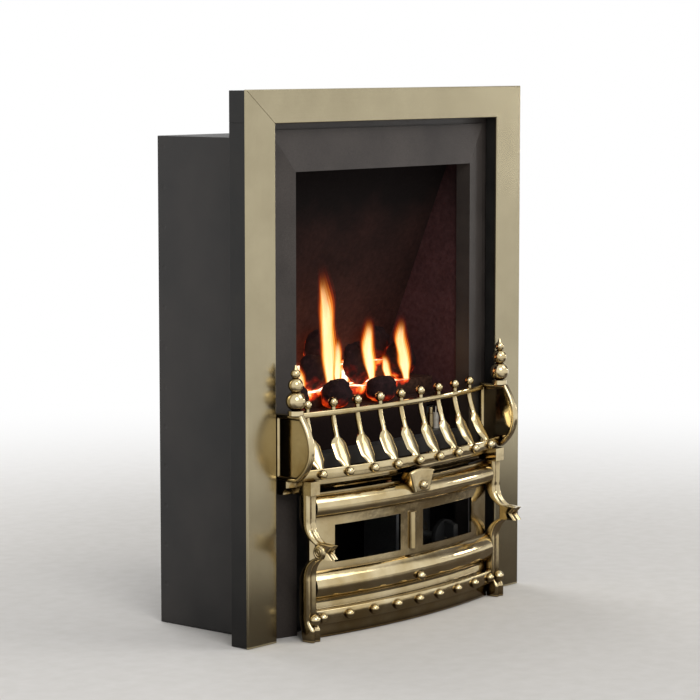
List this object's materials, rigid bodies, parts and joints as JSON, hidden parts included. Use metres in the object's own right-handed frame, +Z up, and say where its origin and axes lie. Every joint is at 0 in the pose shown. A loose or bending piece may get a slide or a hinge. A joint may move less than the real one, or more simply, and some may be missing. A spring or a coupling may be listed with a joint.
{
  "type": "inset gas fire",
  "caption": "Inset open-fronted coal-effect gas fire with a flat brass trim, dark inner frame, bowed brass fret and a draw-off ashpan cover over its gas control.",
  "frame": {"origin": "on the hearth plane under the case, where the centre line crosses the wall face", "axes": "+X right as seen from the room, +Y back into the wall, +Z up"},
  "size_m": [0.486, 0.234, 0.605],
  "materials": {
    "trim_brass": "polished, lacquered",
    "polished_brass": "polished casting",
    "black_sheet": "matt black stove paint",
    "anthracite": "satin anthracite paint",
    "case_steel": "grey-black heat-proof paint",
    "seal_rope": "woven heat-proof tape",
    "chamber_fibre": "sooted ceramic fibre board",
    "coal": "matt ceramic fibre, coal coloured",
    "burner_steel": "heat-stained stainless sheet",
    "valve_body": "die casting",
    "zinc_steel": "zinc plated",
    "knob_plastic": "black",
    "copper_tube": "bright drawn tube",
    "white_ceramic": "glazed",
    "lead_rubber": "silicone sleeve",
    "grommet_rubber": "moulded",
    "magnet": "nickel plated"
  },
  "bodies": {
    "fire": {"burner_box": "burner_steel", "burner_shelf": "case_steel", "case_back": "case_steel", "case_base": "case_steel", "case_left": "case_steel", "case_right": "case_steel", "case_top": "case_steel", "coals_front": "coal", "coals_middle": "coal", "coals_rear": "coal", "flue_spigot": "burner_steel", "frame_screws": "zinc_steel", "fuel_bed": "chamber_fibre", "gas_valve": "valve_body", "ignition_lead": "lead_rubber", "injector": "polished_brass", "injector_pipe": "copper_tube", "inlet_connector": "polished_brass", "inner_frame": "anthracite", "panel_back": "chamber_fibre", "panel_clips": "zinc_steel", "panel_left": "chamber_fibre", "panel_right": "chamber_fibre", "panel_stays": "zinc_steel", "pilot_bracket": "zinc_steel", "pilot_burner": "polished_brass", "pilot_pipe": "copper_tube", "pipe_grommet": "grommet_rubber", "shelf_ledges": "case_steel", "spacer_left": "black_sheet", "spacer_right": "black_sheet", "spacer_top": "black_sheet", "spark_electrode": "white_ceramic", "thermocouple": "copper_tube", "trim_left": "trim_brass", "trim_magnets": "magnet", "trim_right": "trim_brass", "trim_top": "trim_brass", "valve_bonnet": "zinc_steel", "valve_bracket": "zinc_steel", "wall_seal": "seal_rope"},
    "control_driver": {"spindle_driver": "zinc_steel"},
    "control": {"control_spindle": "zinc_steel", "control_knob": "knob_plastic"},
    "fret": {"fret_bars": "polished_brass", "fret_bead_rail": "polished_brass", "fret_beads": "polished_brass", "fret_cheeks": "polished_brass", "fret_finials": "polished_brass", "fret_pillars": "polished_brass", "fret_posts": "polished_brass", "fret_shelf": "polished_brass", "fret_top_rail": "polished_brass"},
    "ashpan_cover": {"cover_base_rail": "polished_brass", "cover_beads": "polished_brass", "cover_bottom_roll": "polished_brass", "cover_mullion": "polished_brass", "cover_pulls": "polished_brass", "cover_stiles": "polished_brass", "cover_top_roll": "polished_brass"}
  },
  "joints": [
    {"name": "fret_draw", "type": "slide", "parent": "fire", "child": "fret", "axis": [0, -1, 0], "range_m": [0, 0.12]},
    {"name": "cover_draw", "type": "slide", "parent": "fret", "child": "ashpan_cover", "axis": [0, -1, 0], "range_m": [0, 0.12]},
    {"name": "control_turn", "type": "hinge", "parent": "fire", "child": "control_driver", "pos_m": [0.11, 0.03, 0.075], "axis": [0, -1, 0], "range_deg": [0, 200]},
    {"name": "control_push", "type": "slide", "parent": "control_driver", "child": "control", "axis": [0, 1, 0], "range_m": [0, 0.004], "stiffness_N_per_m": 600}
  ]
}
